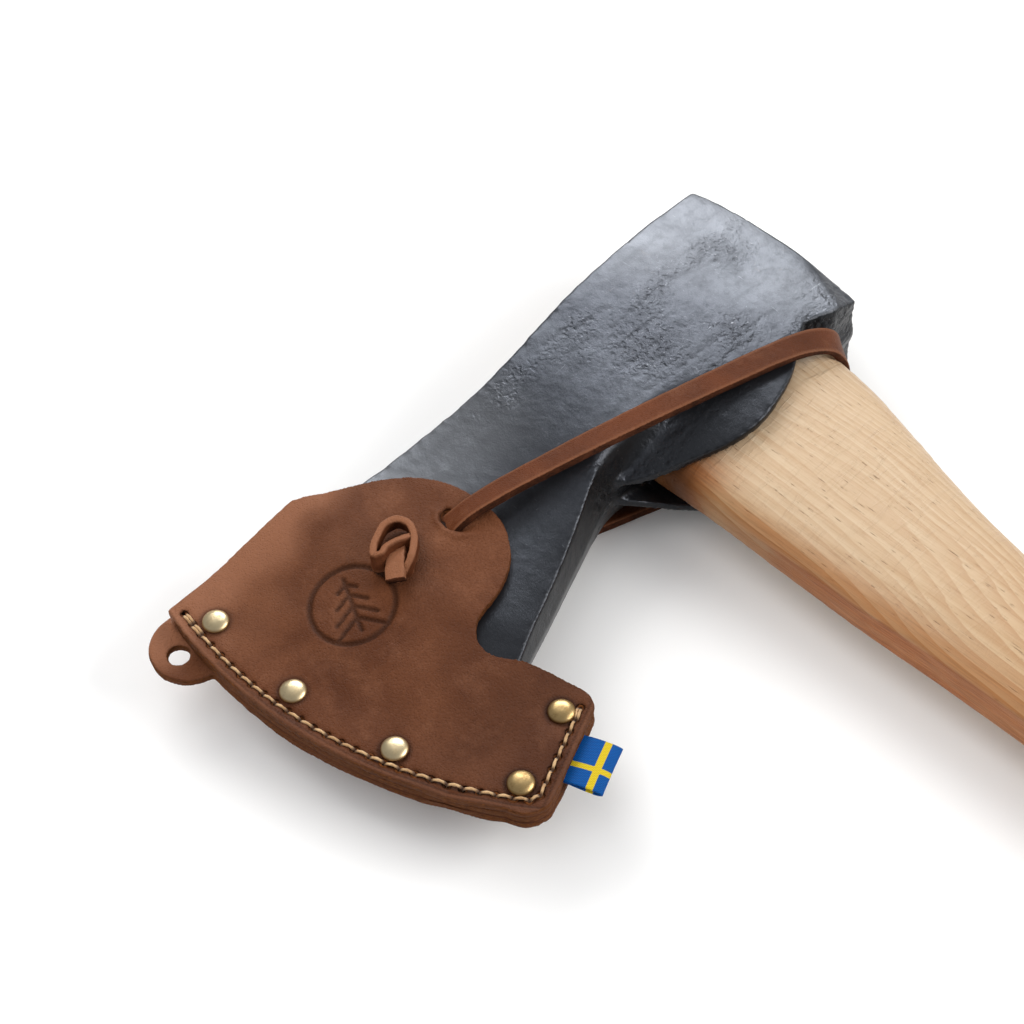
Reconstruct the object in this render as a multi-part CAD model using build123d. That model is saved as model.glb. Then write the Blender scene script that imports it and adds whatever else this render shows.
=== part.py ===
from build123d import *
from math import asin, atan2, copysign, cos, degrees, hypot, pi, radians, sin, tan
import os

os.makedirs("parts", exist_ok=True)

# A felling axe that lies on its side with its leather edge sheath strapped on.
# Millimetres. While it is built, the middle of the eye is at 0, 0, 0: +X runs down the
# haft, -Y towards the cutting edge, +Z out of the upper cheek. At the end everything
# moves together, so that the origin is under the middle of the object, on the floor.

# ---- Head ----
DRAFT = 12                      # forging draft of the head's rim, degrees
BLANK_HALF = 24.0               # half thickness of the blank before its cheeks are shaped
POLL_Y = 46.8                   # striking face of the poll
EDGE_CENTRE = (-13.0, -18.8)    # centre of the cutting edge's arc
EDGE_R = 128.0                  # radius of the cutting edge
TOE_X, HEEL_X = -38.2, 50.3     # where the edge starts and ends
RIM_FRONT_X, RIM_BACK_X = 15.5, 22.4  # underside of the head, before and behind the eye

# the rim on the toe's side, from beyond the poll down, and the beard, from the heel up
TOE_RIM = [(-41.8, 60.0), (-41.6, 30.0), (-40.6, 5.0), (-37.0, -25.0), (-33.8, -50.0), (-34.4, -70.0),
           (-35.6, -92.0), (-36.8, -118.0)]
BEARD = [(44.0, -117.0), (35.6, -97.5), (27.8, -78.0), (20.2, -60.0), (15.4, -46.0), (14.9, -40.0)]
# half thickness of the head against y: fullest over the eye, hollowed towards the blade
SIDE = [(60, 16.2), (40, 16.8), (20, 18.0), (0, 18.5), (-24, 18.0), (-40, 16.8), (-52, 14.8), (-64, 11.9),
        (-78, 9.3), (-95, 7.7), (-115, 7.0)]
# half thickness of the bevels against the distance from the centre of the edge's arc
BEVEL = [(60, 21.0), (84, 9.0), (104, 5.2), (119, 2.5), (EDGE_R, 0.15)]

# ---- Eye, haft and wedges ----
EYE_BOTTOM = (59.0, 24.0)       # eye opening at the haft side, along Y and Z
EYE_TOP = (56.0, 20.0)          # eye opening at the toe side
EYE_SHIFT = 1.2                 # the eye lies a little towards the edge
NOSE = 0.28                     # how much slimmer the eye and the shoulder are in front
SQUARENESS = 3.0                # exponent of their rounded outline
LUG_THICK = 3.2
HAFT_TOP_X = -37.6              # the haft ends level with the head
SHOULDER_X = 15.5               # where the full haft starts, below the eye
WEDGE_DEPTH, WEDGE_WIDTH = 40.0, 46.0
WEDGE_THICK, WEDGE_TIP = 4.0, 0.8
RING_R, RING_WALL, RING_DEPTH = 7.0, 1.2, 11.0

# haft stations: x, front edge y, back edge y, half thickness, nose, squareness
HAFT = [
    (SHOULDER_X, -31.9, 30.8, 14.6, NOSE, SQUARENESS),
    (28.0, -31.4, 30.9, 14.5, 0.27, 3.0),
    (41.0, -31.0, 29.5, 14.4, 0.26, 3.0),
    (58.0, -31.2, 25.5, 14.0, 0.24, 2.9),
    (88.0, -31.4, 17.8, 13.4, 0.20, 2.6),
    (125.0, -30.2, 11.4, 12.9, 0.16, 2.4),
    (200.0, -29.0, 6.5, 12.4, 0.12, 2.3),
    (330.0, -25.0, 8.5, 11.8, 0.08, 2.2),
    (470.0, -15.0, 18.0, 11.8, 0.06, 2.2),
    (600.0, -4.5, 28.0, 12.2, 0.06, 2.2),
    (680.0, -1.5, 33.5, 13.0, 0.05, 2.2),
    (725.0, -8.0, 36.0, 14.5, 0.05, 2.2),
    (752.0, -15.0, 33.0, 15.5, 0.04, 2.2),
    (768.0, -12.0, 24.0, 11.0, 0.02, 2.2),
]
HAFT_SECTIONS, OVAL_POINTS = 40, 20
CROWDING = 1.25                 # above 1, the haft's sections lie closer together near the head

# ---- Sheath ----
LEATHER = 2.8                   # thickness of one layer
PLAY = 0.35                     # leather to steel
FOLD_X = -41.8                  # outside of the fold along the toe
WELT_X = 51.2                   # inner side of the welt along the heel
WELT_INSET = 1.2                # from the cutting edge to the welt
SEAM_R = 140.8                  # outer edge of the seam
STITCH_R = 137.4
HEEL_TOP = (59.8, -99.6)        # outer corner of the heel pocket
HEEL_LOW = (71.4, -127.2)       # where the heel seam turns into the curved seam
SEAM_HEEL_X = 64.5              # where the curved seam starts to turn up the heel
SLIT = (-4.6, -87.6)            # where the strap goes into the leather
KNOT = (-7.6, -105.6)           # where its knotted end sits
TAB_CENTRE, TAB_R = (-32.5, -157.5), 11.2
TAB_HOLE, TAB_HOLE_R = (-32.5, -161.7), 3.0

STITCHES_ON_SEAM, STITCHES_ON_HEEL = 26, 7
STITCH_TOE_X, STITCH_HEEL_X = -38.3, 66.9
HEEL_INSET = 3.5                # heel edge to the stitches
HEEL_STITCH_ENDS = (0.03, 0.95)  # the heel's stitches, as shares of its edge from foot to top
HOLE_R, THREAD_R = 0.75, 0.42
RIVET_CAP_R, RIVET_CAP_H = 3.5, 1.9
RIVET_SLEEVE_R, RIVET_POST_R = 1.9, 1.3
RIVETS = {
    "toe": (-30.1, -150.0),
    "edge_front": (0.9, -150.3),
    "edge_rear": (32.3, -143.9),
    "heel_low": (62.2, -128.8),
    "heel_high": (54.75, -106.8),
}

# ---- Strap and ribbon ----
STRAP_WIDTH, STRAP_THICK = 7.2, 2.6
STRAP_HOOK = (29.4, 29.4)       # where it lies on the back of the haft
STRAP_HEIGHT = 18.9             # its inner face over the cheek
STRAP_BEND, STRAP_SLACK = 13.0, 2.5  # its turn over the haft, and its distance behind the hook point
STRAP_LEG = [(0.0, 12.1), (5.0, 12.8), (10.0, 13.4), (25.0, 15.3), (41.0, 17.2), (60.0, 18.3), (80.0, 18.85)]
TAG_WIDTH, TAG_REACH, TAG_TUCK, RIBBON = 14.5, 9.5, 6.0, 0.5

SEAM_HALF = 1.5 * LEATHER
SPAN = 200.0                    # longer than anything it cuts


def polar(radius, angle):
    """A point round the centre of the cutting edge's arc, the angle from -Y towards +X."""
    turn = radians(angle)
    return (EDGE_CENTRE[0] + radius * sin(turn), EDGE_CENTRE[1] - radius * cos(turn))


def arc_angle(radius, x):
    """The angle at which the circle of that radius crosses x."""
    return degrees(asin((x - EDGE_CENTRE[0]) / radius))


def both_sides(shape):
    return shape + mirror(shape, about=Plane.XY)


def turned(grow, floor):
    """The space between the two bevels, which are dished round the edge's centre."""
    spline = Spline(*BEVEL)
    curve = [spline @ (i / 12) for i in range(13)]
    top = [(p.X, max(p.Y + grow, floor)) for p in curve]
    last_r, last_h = EDGE_R + 60, max(top[-1][1], 0.01)
    rim = Polyline((0, top[0][1]), *top, (last_r, last_h), (last_r, 0), (0, 0), close=True)
    section = Plane.XZ * make_face(rim)
    return Pos(EDGE_CENTRE[0], EDGE_CENTRE[1], 0) * both_sides(revolve(section, Axis.Z))


def side_space(grow=0.0):
    """The head's thickness, as seen from the haft's end, through its whole depth."""
    crown = Spline(*[(y, half + grow) for y, half in SIDE])
    first_y, first_half = SIDE[0][0], SIDE[0][1] + grow
    last_y, last_half = SIDE[-1][0], SIDE[-1][1] + grow
    end = Polyline((last_y, last_half), (-SPAN, last_half), (-SPAN, 0), (first_y, 0), (first_y, first_half))
    return both_sides(extrude(Plane.YZ * make_face([crown, end]), amount=SPAN, both=True))


# ---- Head ----

def head_outline(inset, height):
    """The head's outline at some height, its two rims set in by the draft; the poll is left long."""
    toe_x, heel_x = TOE_X + inset, HEEL_X - inset
    front_x, back_x = RIM_FRONT_X - inset, RIM_BACK_X - inset
    toe = (toe_x, polar(EDGE_R, arc_angle(EDGE_R, toe_x))[1])
    heel = (heel_x, polar(EDGE_R, arc_angle(EDGE_R, heel_x))[1])
    toe_rim = [(x + inset, y) for x, y in TOE_RIM]
    beard = [(x - inset, y) for x, y in BEARD]
    edges = [
        Spline(*toe_rim, toe),
        ThreePointArc(toe, polar(EDGE_R, 5), heel),
        Spline(heel, *beard, (front_x, -34.0)),
        Line((front_x, -34.0), (back_x, 30.0)),
        Line((back_x, 30.0), (back_x + 2.2, 36.0)),
        Line((back_x + 2.2, 36.0), (back_x + 0.4, toe_rim[0][1])),
        Line((back_x + 0.4, toe_rim[0][1]), toe_rim[0]),
    ]
    return Pos(0, 0, height) * make_face(edges)


def poll_space():
    """Cuts the poll to its slightly crowned face, flat in the middle."""
    edges = [
        Spline((-60.0, 39.0), (-38.0, 44.4), (-14.0, POLL_Y), tangents=[(1, 0.4), (1, 0)]),
        Line((-14.0, POLL_Y), (8.0, POLL_Y)),
        Spline((8.0, POLL_Y), (20.0, 46.2), (50.0, 40.0), tangents=[(1, 0), (1, -0.4)]),
        Polyline((50.0, 40.0), (80.0, -SPAN), (-80.0, -SPAN), (-60.0, 39.0)),
    ]
    return extrude(make_face(edges), amount=SPAN, both=True)


def lug_outline():
    """One ear that reaches down the haft from the cheek."""
    curve = Spline((14.0, -45.0), (20.5, -38.0), (27.0, -28.5), (32.6, -18.5), (34.6, -9.0), (33.0, 1.5),
                   (30.0, 9.5), (25.0, 17.5), (18.5, 26.0))
    return make_face([curve, Line((18.5, 26.0), (5.0, 26.0)), Line((5.0, 26.0), (5.0, -45.0)),
                      Line((5.0, -45.0), (14.0, -45.0))])


def lugs():
    """Both ears, which close in towards the slim front of the haft."""
    outer = [(-46, 5.5), (-38, 7.4), (-30, 11.2), (-20, 15.0), (-8, 17.7), (4, 18.6), (30, 18.6)]
    inner = [(y, half - LUG_THICK) for y, half in reversed(outer)]
    band = make_face([Spline(*outer), Line(outer[-1], inner[0]), Spline(*inner), Line(inner[-1], outer[0])])
    plates = both_sides(extrude(Plane.YZ * band, amount=SPAN, both=True))
    return plates & extrude(lug_outline(), amount=BLANK_HALF, both=True)


def oval(x, front, back, half, nose, squareness):
    """A section across the haft: a rounded oval, slimmer towards the front."""
    middle, reach = (front + back) / 2, (back - front) / 2
    points = []
    for i in range(OVAL_POINTS):
        c, s = cos(2 * pi * i / OVAL_POINTS), sin(2 * pi * i / OVAL_POINTS)
        across = copysign(abs(c) ** (2 / squareness), c)
        slim = 1 - nose * ((1 - across) / 2) ** 1.5
        points.append((x, middle + reach * across, half * slim * copysign(abs(s) ** (2 / squareness), s)))
    return Face(Wire([Spline(*points, periodic=True)]))


def eye_space(from_x, to_x):
    """The tapered eye, wider on the haft's side."""
    def at(x):
        share = (x - HAFT_TOP_X) / (RIM_FRONT_X - HAFT_TOP_X)
        width = EYE_TOP[0] + share * (EYE_BOTTOM[0] - EYE_TOP[0])
        height = EYE_TOP[1] + share * (EYE_BOTTOM[1] - EYE_TOP[1])
        return oval(x, -width / 2 - EYE_SHIFT, width / 2 - EYE_SHIFT, height / 2, NOSE, SQUARENESS)
    return loft([at(from_x), at(to_x)])


def axe_head():
    inset = BLANK_HALF * tan(radians(DRAFT))
    blank = both_sides(loft([head_outline(0, 0), head_outline(inset, BLANK_HALF)], ruled=True))
    body = (blank & turned(0, 0)) + lugs()
    body = body & side_space() & poll_space()
    return body - eye_space(-60, SHOULDER_X + 5) - haft_grip()


# ---- Haft ----

def wedge_blank():
    """The kerf's shape: a wedge from the haft's top, thin at its tip."""
    tip_x, half, tip = HAFT_TOP_X + WEDGE_DEPTH, WEDGE_THICK / 2, WEDGE_TIP / 2
    shape = Polyline((HAFT_TOP_X, half), (tip_x, tip), (tip_x, -tip), (HAFT_TOP_X, -half), close=True)
    return extrude(Plane.XZ * make_face(shape), amount=WEDGE_WIDTH / 2, both=True)


def ring_blank():
    """The round steel wedge, driven in flush across the wooden one."""
    plane = Plane(origin=(HAFT_TOP_X, 0, 0), x_dir=(0, 1, 0), z_dir=(1, 0, 0))
    return extrude(plane * (Circle(RING_R) - Circle(RING_R - RING_WALL)), amount=RING_DEPTH)


def haft_station(x):
    """The haft at x, eased between the stations on either side."""
    place = max(i for i in range(len(HAFT) - 1) if HAFT[i][0] <= x)
    here, there = HAFT[place], HAFT[place + 1]
    before, after = HAFT[max(place - 1, 0)], HAFT[min(place + 2, len(HAFT) - 1)]
    step = there[0] - here[0]
    t = (x - here[0]) / step
    row = [x]
    for k in range(1, len(here)):
        leave = step * (there[k] - before[k]) / (there[0] - before[0])
        arrive = step * (after[k] - here[k]) / (after[0] - here[0])
        rise = there[k] - here[k]
        bend, twist = 3 * rise - 2 * leave - arrive, leave + arrive - 2 * rise
        row.append(here[k] + leave * t + bend * t ** 2 + twist * t ** 3)
    return row


def haft_grip():
    """The haft from the shoulder down."""
    first, last = HAFT[0][0], HAFT[-1][0]
    shares = [(i / HAFT_SECTIONS) ** CROWDING for i in range(HAFT_SECTIONS)]
    stations = [haft_station(first + (last - first) * share) for share in shares]
    return loft([oval(*station) for station in stations + [HAFT[-1]]])


def haft():
    tongue = eye_space(HAFT_TOP_X, SHOULDER_X + 5)
    return tongue + haft_grip() - wedge_blank() - ring_blank()


def wood_wedge():
    return wedge_blank() - ring_blank()


# ---- Sheath ----

def heel_line(share, inset):
    """A point along the heel seam, from its top to its foot, set in from the outer edge."""
    dx, dy = HEEL_LOW[0] - HEEL_TOP[0], HEEL_LOW[1] - HEEL_TOP[1]
    set_in = inset / hypot(dx, dy)
    return (HEEL_TOP[0] + share * dx + set_in * dy, HEEL_TOP[1] + share * dy - set_in * dx)


def seam_corner(seam_heel):
    """The rounded corner between the curved seam and the heel."""
    return Spline(seam_heel, (69.8, -133.0), HEEL_LOW)


def panel_outline():
    """One side of the sheath: a tongue up the cheek, a heel pocket and the curved seam."""
    seam_toe = (FOLD_X, polar(SEAM_R, arc_angle(SEAM_R, FOLD_X))[1])
    seam_heel = polar(SEAM_R, arc_angle(SEAM_R, SEAM_HEEL_X))
    edges = [
        Line((FOLD_X, -112.0), seam_toe),
        ThreePointArc(seam_toe, polar(SEAM_R, 8), seam_heel),
        seam_corner(seam_heel),
        Line(HEEL_LOW, HEEL_TOP),
        Spline(HEEL_TOP, (56.0, -98.2), (47.5, -100.4), (38.0, -104.8), (29.8, -109.0), (23.4, -106.2),
               (20.6, -97.5), (15.4, -85.6), (6.5, -79.4), (-3.8, -78.0), (-15.0, -79.8), (-25.0, -86.4),
               (-34.2, -99.0), (FOLD_X, -112.0)),
    ]
    return make_face(edges)


def heel_ramp(grow):
    """Brings the two sides together towards the heel seam."""
    flat, rise = LEATHER / 2 + grow, 0.6
    points = [(-80, 40), (WELT_X - (40 - flat) / rise, 40), (WELT_X, flat), (100, flat), (100, 0), (-80, 0)]
    return both_sides(extrude(Plane.XZ * make_face(Polyline(*points, close=True)), amount=SPAN, both=True))


def tab_outline():
    return Pos(*TAB_CENTRE) * Circle(TAB_R) + Pos(TAB_CENTRE[0], TAB_CENTRE[1] + TAB_R / 2) * Rectangle(
        2 * TAB_R, TAB_R)


def slit_cutter(centre, length, width):
    angle = degrees(atan2(STRAP_HOOK[1] - SLIT[1], STRAP_HOOK[0] - SLIT[0]))
    slot = Pos(*centre) * Rot(0, 0, angle) * Rectangle(width, length)
    return extrude(slot, amount=30, both=True)


def stitch_holes():
    """Every hole of the seam, from the toe to the top of the heel."""
    start, end = arc_angle(STITCH_R, STITCH_TOE_X), arc_angle(STITCH_R, STITCH_HEEL_X)
    turn = (end - start) / STITCHES_ON_SEAM
    seam = [polar(STITCH_R, start + turn * i) for i in range(STITCHES_ON_SEAM + 1)]
    foot, top = HEEL_STITCH_ENDS
    step = (top - foot) / STITCHES_ON_HEEL
    return seam + [heel_line(1 - foot - step * i, HEEL_INSET) for i in range(STITCHES_ON_HEEL + 1)]


def seam_bores():
    """Cylinders for the stitch holes and the rivets, through all the layers."""
    bores = [Pos(x, y, 0) * Cylinder(HOLE_R, 20) for x, y in stitch_holes()]
    return bores + [Pos(x, y, 0) * Cylinder(RIVET_SLEEVE_R, 20) for x, y in RIVETS.values()]


def sheath_leather():
    """One piece of leather, folded round the toe: both sides and the hanging tab."""
    flat = LEATHER / 2
    outer = extrude(panel_outline(), amount=30, both=True)
    outer = outer & side_space(PLAY + LEATHER) & turned(PLAY + LEATHER, flat + LEATHER) & heel_ramp(LEATHER)
    tab = Pos(0, 0, -SEAM_HALF) * extrude(tab_outline(), amount=LEATHER)
    inner = Pos(FOLD_X + LEATHER + SPAN / 2, 0, 0) * Box(SPAN, 2 * SPAN, 60)
    inner = inner & side_space(PLAY) & turned(PLAY, flat) & heel_ramp(0)
    leather = outer + tab - inner
    leather -= Pos(*TAB_HOLE, 0) * Cylinder(TAB_HOLE_R, 20)
    leather -= slit_cutter(SLIT, STRAP_WIDTH + 1, 2.4)
    leather -= slit_cutter(KNOT, 5, 3.4)
    return leather - seam_bores()


def welt_outline():
    """The strip between the two sides, along the seam and up the heel."""
    inner_r = EDGE_R + WELT_INSET
    outer_toe = (FOLD_X + LEATHER, polar(SEAM_R, arc_angle(SEAM_R, FOLD_X + LEATHER))[1])
    inner_toe = (FOLD_X + LEATHER, polar(inner_r, arc_angle(inner_r, FOLD_X + LEATHER))[1])
    seam_heel = polar(SEAM_R, arc_angle(SEAM_R, SEAM_HEEL_X))
    inner_heel = (WELT_X, polar(inner_r, arc_angle(inner_r, WELT_X))[1])
    edges = [
        ThreePointArc(outer_toe, polar(SEAM_R, 8), seam_heel),
        seam_corner(seam_heel),
        Line(HEEL_LOW, HEEL_TOP),
        Line(HEEL_TOP, (WELT_X, HEEL_TOP[1])),
        Line((WELT_X, HEEL_TOP[1]), inner_heel),
        ThreePointArc(inner_heel, polar(inner_r, 5), inner_toe),
        Line(inner_toe, outer_toe),
    ]
    return make_face(edges)


def welt():
    strip = Pos(0, 0, -LEATHER / 2) * extrude(welt_outline(), amount=LEATHER)
    return strip - ribbon_tuck() - seam_bores()


def tag_place():
    """The middle of the ribbon on the heel edge, and the turn that points it outwards."""
    middle = heel_line(0.47, 0)
    angle = degrees(atan2(HEEL_LOW[0] - HEEL_TOP[0], HEEL_TOP[1] - HEEL_LOW[1]))
    return Pos(middle[0], middle[1], LEATHER / 2 - RIBBON) * Rot(0, 0, angle)


def ribbon_tuck():
    """The ribbon's two ends, one on the other, let into the top of the welt."""
    return tag_place() * Pos(-TAG_TUCK / 2, 0, 0) * Box(TAG_TUCK, TAG_WIDTH, 2 * RIBBON)


def ribbon_tag():
    """A ribbon folded into a flat loop, its ends sewn into the heel seam."""
    bow = RIBBON * 1.8
    curl = TAG_REACH - bow
    outline = Polyline((curl, -bow), (0, -RIBBON), (0, RIBBON), (curl, bow)) + ThreePointArc(
        (curl, bow), (TAG_REACH, 0), (curl, -bow))
    loop = extrude(Plane.XZ * make_face(outline.edges()), amount=TAG_WIDTH / 2, both=True)
    return tag_place() * loop + ribbon_tuck() - seam_bores()


def seam_thread():
    """The thread: a leg down every hole and a stitch between them on both faces."""
    holes = stitch_holes()
    top = SEAM_HALF + THREAD_R + 0.03
    legs = [Pos(x, y, 0) * Cylinder(THREAD_R, 2 * top) for x, y in holes]
    bars = []
    for (ax, ay), (bx, by) in zip(holes, holes[1:]):
        length = hypot(bx - ax, by - ay)
        turn = degrees(atan2(by - ay, bx - ax))
        for z in (top, -top):
            bar = Pos((ax + bx) / 2, (ay + by) / 2, z) * Rot(0, 0, turn) * Rot(0, 90, 0)
            bars.append(bar * Cylinder(THREAD_R, length))
    knuckles = [Pos(x, y, z) * Sphere(THREAD_R) for x, y in holes for z in (top, -top)]
    return legs[0] + legs[1:] + bars + knuckles


def rivet_profile(length, radius, bore):
    """A domed cap with a stem, turned round its axis, the cap's rim on z = 0."""
    dome = [Line((0, RIVET_CAP_H), (0.01, RIVET_CAP_H)),
            ThreePointArc((0.01, RIVET_CAP_H), (RIVET_CAP_R * 0.62, RIVET_CAP_H * 0.76), (RIVET_CAP_R, 0))]
    if bore:
        stem = Polyline((RIVET_CAP_R, 0), (radius, 0), (radius, -length), (bore, -length), (bore, 0), (0, 0),
                        (0, RIVET_CAP_H))
    else:
        stem = Polyline((RIVET_CAP_R, 0), (radius, 0), (radius, -length), (0, -length), (0, RIVET_CAP_H))
    return revolve(Plane.XZ * make_face(dome + [stem]), Axis.Z)


def rivet_cap(x, y):
    """The upper cap, whose sleeve takes the post."""
    return Pos(x, y, SEAM_HALF) * rivet_profile(SEAM_HALF, RIVET_SLEEVE_R - 0.02, RIVET_POST_R + 0.02)


def rivet_post(x, y):
    """The lower cap, whose post is clenched inside the sleeve."""
    return Pos(x, y, -SEAM_HALF) * Rot(180, 0, 0) * rivet_profile(2 * SEAM_HALF - 0.1, RIVET_POST_R, 0)


# ---- Strap ----

def strap_plane():
    """Along the strap from the slit to the haft's back, upright."""
    along = (STRAP_HOOK[0] - SLIT[0], STRAP_HOOK[1] - SLIT[1])
    length = hypot(*along)
    run = Vector(along[0] / length, along[1] / length, 0)
    return Plane(origin=(SLIT[0], SLIT[1], 0), x_dir=run, z_dir=run.cross(Vector(0, 0, 1))), length


def strap():
    """A flat lace from one slit, over the cheek, round the haft's back and home."""
    plane, reach = strap_plane()
    inside, bend = reach + STRAP_SLACK, STRAP_BEND
    leg = Spline(*STRAP_LEG, (inside - bend, STRAP_HEIGHT), tangents=[(1, 0.25), (1, 0)])
    corner = ThreePointArc((inside - bend, STRAP_HEIGHT),
                           (inside - bend * (1 - sin(pi / 4)), STRAP_HEIGHT - bend * (1 - sin(pi / 4))),
                           (inside, STRAP_HEIGHT - bend))
    line = leg + corner + Line((inside, STRAP_HEIGHT - bend), (inside, 0))
    steps = [i / 30 for i in range(31)]
    outer = [leg @ i + (leg % i).rotate(Axis.Z, 90) * STRAP_THICK for i in steps]
    big = bend + STRAP_THICK
    edges = line.edges() + [
        Line((inside, 0), (inside + STRAP_THICK, 0)),
        Line((inside + STRAP_THICK, 0), (inside + STRAP_THICK, STRAP_HEIGHT - bend)),
        ThreePointArc((inside + STRAP_THICK, STRAP_HEIGHT - bend),
                      (inside - bend + big * sin(pi / 4), STRAP_HEIGHT - bend + big * sin(pi / 4)),
                      (inside - bend, STRAP_HEIGHT + STRAP_THICK)),
        Spline(*[(p.X, p.Y) for p in reversed(outer)]),
        Line((outer[0].X, outer[0].Y), leg @ 0),
    ]
    band = plane * make_face(edges)
    return both_sides(extrude(band, amount=STRAP_WIDTH / 2, both=True))


def lace_knot():
    """The knotted end of the lace: a ring of lace with its tail tucked through, on the upper face."""
    base = 13.0
    ring = Pos(KNOT[0] - 1.0, KNOT[1] + 1.2, base + 3.2) * Rot(52, 0, -28) * Torus(4.0, 1.9)
    tail = Pos(KNOT[0] + 3.0, KNOT[1] - 3.4, base + 0.6) * Rot(0, 0, -52) * Rot(0, 9, 0) * Box(12.5, 5.4, 2.4)
    neck = Pos(KNOT[0], KNOT[1], base - 2.0) * Rot(0, 0, 70) * Box(3.0, 4.6, 5.0)
    return ring + tail + neck


def build():
    nodes = {
        "axe_head": axe_head(),
        "haft": haft(),
        "wood_wedge": wood_wedge(),
        "steel_ring_wedge": ring_blank(),
        "sheath_leather": sheath_leather(),
        "welt": welt(),
        "seam_thread": seam_thread(),
        "ribbon_tag": ribbon_tag(),
        "strap": strap(),
        "front_knot": lace_knot(),
        "rear_knot": mirror(lace_knot(), about=Plane.XY),
    }
    for place, (x, y) in RIVETS.items():
        nodes["rivet_cap_" + place] = rivet_cap(x, y)
        nodes["rivet_post_" + place] = rivet_post(x, y)
    return nodes


def to_floor(nodes):
    """Moves everything so that the origin is under the middle, on the floor."""
    box = Compound(children=[Compound(node.solids()) for node in nodes.values()]).bounding_box()
    shift = Pos(-(box.min.X + box.max.X) / 2, -(box.min.Y + box.max.Y) / 2, -box.min.Z)
    return {name: shift * node for name, node in nodes.items()}, shift


parts, shift = to_floor(build())
for name, part in parts.items():
    export_step(part, "parts/" + name + ".step")
print("moved by", shift.position)
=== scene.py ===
from itertools import product
from math import atan2, cos, hypot, pi, radians, sin, tau
import bmesh
import bpy
import numpy as np
from mathutils import Matrix, Vector


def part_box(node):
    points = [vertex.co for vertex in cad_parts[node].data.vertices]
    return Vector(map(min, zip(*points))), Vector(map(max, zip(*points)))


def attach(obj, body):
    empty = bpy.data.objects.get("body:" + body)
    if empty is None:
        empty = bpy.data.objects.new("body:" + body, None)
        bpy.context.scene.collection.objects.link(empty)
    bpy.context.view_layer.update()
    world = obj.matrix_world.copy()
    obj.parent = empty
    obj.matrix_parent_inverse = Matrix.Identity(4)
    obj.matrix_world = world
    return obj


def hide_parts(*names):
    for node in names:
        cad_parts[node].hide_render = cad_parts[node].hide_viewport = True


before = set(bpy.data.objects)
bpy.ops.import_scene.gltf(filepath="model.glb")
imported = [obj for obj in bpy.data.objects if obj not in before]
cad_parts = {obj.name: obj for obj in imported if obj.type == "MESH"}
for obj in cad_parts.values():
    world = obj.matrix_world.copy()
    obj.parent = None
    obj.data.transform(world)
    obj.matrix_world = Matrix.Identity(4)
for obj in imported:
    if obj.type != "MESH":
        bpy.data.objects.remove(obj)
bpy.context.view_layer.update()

# Shapes are worked out in millimetres round the middle of the axe's eye: +X runs down the haft,
# -Y towards the cutting edge, +Z out of the upper cheek. EYE is where that point lies, in metres.
MM = 0.001
HAFT_TOP_X = -37.6
ring_low, ring_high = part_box("steel_ring_wedge")
EYE = np.array([ring_low.x - HAFT_TOP_X * MM, (ring_low.y + ring_high.y) / 2, (ring_low.z + ring_high.z) / 2])

# ---- The leather's driving dimensions ----
LEATHER = 2.8
SEAM_HALF = 1.5 * LEATHER
PLAY = 0.35
WELT_X = 51.2
HEEL_RISE = 0.6
EDGE_CENTRE = (-13.0, -18.8)
SEAM_R, STITCH_R = 140.8, 137.4
FOLD_X = -41.8
HEEL_TOP, HEEL_LOW = (59.8, -99.6), (71.4, -127.2)
HEEL_RUN = (HEEL_LOW[0] - HEEL_TOP[0], HEEL_LOW[1] - HEEL_TOP[1])
STITCHES_ON_SEAM, STITCHES_ON_HEEL = 26, 7
STITCH_TOE_X, STITCH_HEEL_X = -38.3, 66.9
HEEL_INSET, HEEL_STITCH_ENDS = 3.5, (0.03, 0.95)
SLIT = (-4.6, -87.6)
KNOT = (-7.6, -105.6)
STRAP_HOOK = (29.4, 29.4)
TAB_CENTRE, TAB_R = (-32.5, -157.5), 11.2
STAMP, STAMP_R, STAMP_UP = (-5.7, -123.0), 11.4, (-0.90, 0.43)
RIVETS = ["toe", "edge_front", "edge_rear", "heel_low", "heel_high"]
RIBBON_WIDTH = 14.5
LACE_WIDTH, LACE_THICK = 7.2, 2.5
THREAD_R = 0.42

# ---- The head's and the haft's ----
EYE_SHIFT = 1.2
EYE_HALF_Y, EYE_HALF_Z = 30.5, 13.2
LUG_RIM = [(14.0, -45.0), (20.5, -38.0), (27.0, -28.5), (32.6, -18.5), (34.6, -9.0), (33.0, 1.5), (30.0, 9.5),
           (25.0, 17.5)]
# half the head's thickness, along Y through the cheeks and outwards from the edge's centre through the bevel
CHEEK_Y = [60, 20, -24, -40, -52, -64, -78, -95, -115]
CHEEK_HALF = [16.2, 18.0, 18.0, 16.8, 14.8, 11.9, 9.3, 7.7, 7.0]
BEVEL_REACH, BEVEL_HALF = [60, 84, 104, 119, 128], [21.0, 9.0, 5.2, 2.5, 0.15]
# the haft's front before it is planed, and how deep the plane cuts, along X
FRONT_X, FRONT_Y = [15, 41, 88, 125, 200, 330], [-31.9, -31.0, -31.4, -30.2, -29.0, -25.0]
PLANED_X, PLANED_DEEP = [40, 62, 110, 220, 360, 420], [0.0, 0.6, 1.6, 1.9, 0.9, 0.0]


# ---- Points, noise and meshes ----

def smooth(value, low, high):
    """0 below low, 1 above high, and an easy slope between them."""
    t = np.clip((value - low) / (high - low), 0.0, 1.0)
    return t * t * (3 - 2 * t)


def bell(distance, width):
    """1 where the distance is 0, falling away on both sides over about the width."""
    return np.exp(-(distance / width) ** 2)


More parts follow.
